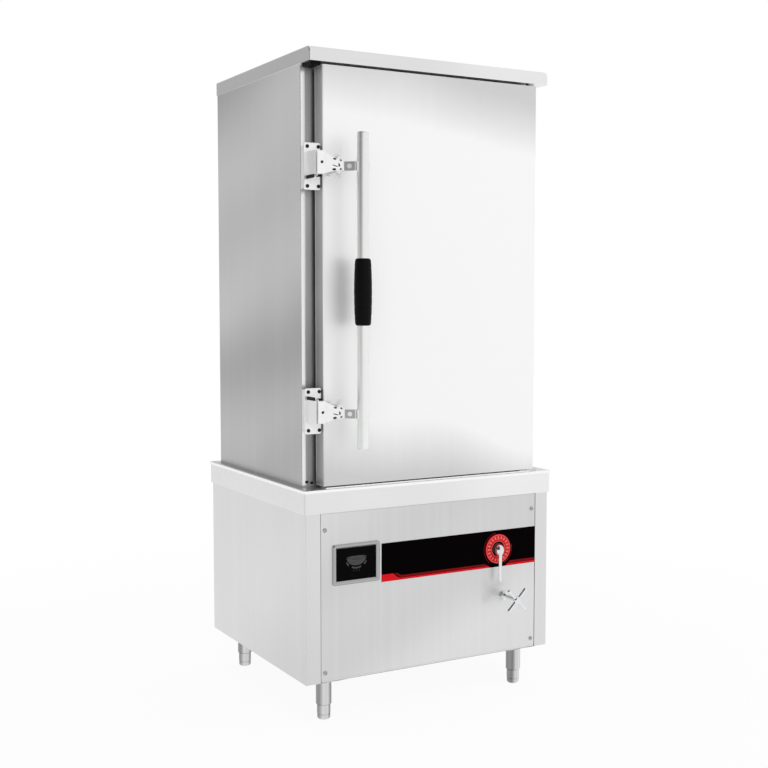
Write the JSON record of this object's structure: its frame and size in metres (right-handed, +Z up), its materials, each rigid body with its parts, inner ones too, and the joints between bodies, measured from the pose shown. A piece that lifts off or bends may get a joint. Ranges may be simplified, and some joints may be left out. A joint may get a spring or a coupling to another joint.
{
  "type": "rice steamer cabinet",
  "caption": "Free-standing steam cabinet: insulated one-door steaming chamber over a boiler base with display, power lever, water tap and four levelling feet.",
  "frame": {"origin": "on the floor under the middle of the whole cabinet, handle and rear fittings included", "axes": "+Z up, front faces -Y, door hinges on the +X side"},
  "size_m": [0.716, 0.725, 1.6],
  "materials": {
    "stainless_side": "fine brushed, soft sheen",
    "stainless_front": "bright brushed",
    "base_skin": "satin pale grey",
    "worktop_skin": "pressed, satin",
    "front_panel_skin": "upright brushed",
    "galvanised": "mill finish",
    "liner_steel": "satin",
    "cast_latch": "polished casting",
    "pole_steel": "satin tube",
    "bright_chrome": "polished",
    "grip_rubber": "moulded, matt",
    "seal_rubber": "soft, matt",
    "black_screw": "blackened",
    "steel_screw": "bright",
    "display_glass": "dark glossy window",
    "strip_black": "glossy overlay",
    "dial_red": "printed ring",
    "switch_plastic": "moulded",
    "brass": "cast",
    "foot_steel": "turned",
    "mineral_wool": "mineral wool",
    "foam": "rigid foam",
    "coil_copper": "lacquered winding",
    "unit_aluminium": "cast with fins",
    "fan_plastic": "moulded",
    "lever_red": "dipped lever",
    "gland_plastic": "moulded nylon"
  },
  "bodies": {
    "cabinet": {"leg_tubes": "foot_steel", "base_left_panel": "base_skin", "base_right_panel": "base_skin", "base_frame": "galvanised", "base_floor_pan": "galvanised", "base_back_panel": "base_skin", "front_panel": "front_panel_skin", "front_panel_screws": "steel_screw", "worktop_rim": "worktop_skin", "cabinet_left_panel": "stainless_side", "cabinet_right_panel": "stainless_side", "cabinet_rear_panel": "stainless_side", "top_cap": "worktop_skin", "front_frame": "stainless_side", "inner_liner": "liner_steel", "insulation_jacket": "mineral_wool", "left_runner_rack": "liner_steel", "right_runner_rack": "liner_steel", "steam_vent": "liner_steel", "hinge_plates": "liner_steel", "hinge_pins": "bright_chrome", "keepers": "cast_latch", "keeper_screws": "black_screw", "display_bezel": "bright_chrome", "display_lens": "display_glass", "control_strip": "strip_black", "dial_ring": "dial_red", "switch_body": "switch_plastic", "tap_body": "bright_chrome", "water_pipe": "galvanised", "boiler_tank": "liner_steel", "steam_diffuser": "liner_steel", "feed_tank": "liner_steel", "induction_coil": "coil_copper", "power_unit": "unit_aluminium", "fan_housing": "fan_plastic", "drain_tap": "brass", "cable_gland": "gland_plastic"},
    "foot_front_left": {"foot_front_left": "foot_steel"},
    "foot_front_right": {"foot_front_right": "foot_steel"},
    "foot_rear_left": {"foot_rear_left": "foot_steel"},
    "foot_rear_right": {"foot_rear_right": "foot_steel"},
    "door": {"door_outer_skin": "stainless_front", "door_inner_skin": "liner_steel", "door_core": "foam", "door_gasket": "seal_rubber", "hinge_bushes": "steel_screw", "latch_brackets": "cast_latch", "latch_bracket_screws": "black_screw", "latch_pins": "bright_chrome"},
    "latch_handle": {"latch_arms": "cast_latch", "pole_clamps": "pole_steel", "pole": "pole_steel", "pole_caps": "pole_steel", "grip": "grip_rubber"},
    "switch_lever": {"switch_lever": "bright_chrome"},
    "tap_handle": {"tap_handle": "bright_chrome"},
    "float_arm": {"float_arm": "brass"},
    "fan_rotor": {"fan_rotor": "fan_plastic"},
    "drain_lever": {"drain_lever": "lever_red"}
  },
  "joints": [
    {"name": "door_hinge", "type": "hinge", "parent": "cabinet", "child": "door", "pos_m": [0.293, -0.2735, 1.069], "axis": [0, 0, 1], "range_deg": [0, 160]},
    {"name": "latch_pull", "type": "hinge", "parent": "door", "child": "latch_handle", "pos_m": [-0.279, -0.3115, 1.04175], "axis": [0, 0, -1], "range_deg": [0, 30]},
    {"name": "power_switch", "type": "hinge", "parent": "cabinet", "child": "switch_lever", "pos_m": [0.195, -0.2845, 0.378], "axis": [0, 1, 0], "range_deg": [0, 270]},
    {"name": "water_tap", "type": "hinge", "parent": "cabinet", "child": "tap_handle", "pos_m": [0.217, -0.3415, 0.253], "axis": [0, -1, 0], "range_deg": [0, 750]},
    {"name": "level_front_left", "type": "slide", "parent": "cabinet", "child": "foot_front_left", "axis": [0, 0, 1], "range_m": [-0.02, 0]},
    {"name": "level_front_right", "type": "slide", "parent": "cabinet", "child": "foot_front_right", "axis": [0, 0, 1], "range_m": [-0.02, 0]},
    {"name": "level_rear_left", "type": "slide", "parent": "cabinet", "child": "foot_rear_left", "axis": [0, 0, 1], "range_m": [-0.02, 0]},
    {"name": "level_rear_right", "type": "slide", "parent": "cabinet", "child": "foot_rear_right", "axis": [0, 0, 1], "range_m": [-0.02, 0]},
    {"name": "float_swing", "type": "hinge", "parent": "cabinet", "child": "float_arm", "pos_m": [0.111, -0.1335, 0.305], "axis": [-1, 0, 0], "range_deg": [0, 22]},
    {"name": "fan_spin", "type": "hinge", "parent": "cabinet", "child": "fan_rotor", "pos_m": [0.12, 0.285, 0.3], "axis": [0, 1, 0], "continuous": true},
    {"name": "drain_valve", "type": "hinge", "parent": "cabinet", "child": "drain_lever", "pos_m": [-0.2, 0.3325, 0.16], "axis": [0, 0, 1], "range_deg": [0, 90]}
  ]
}
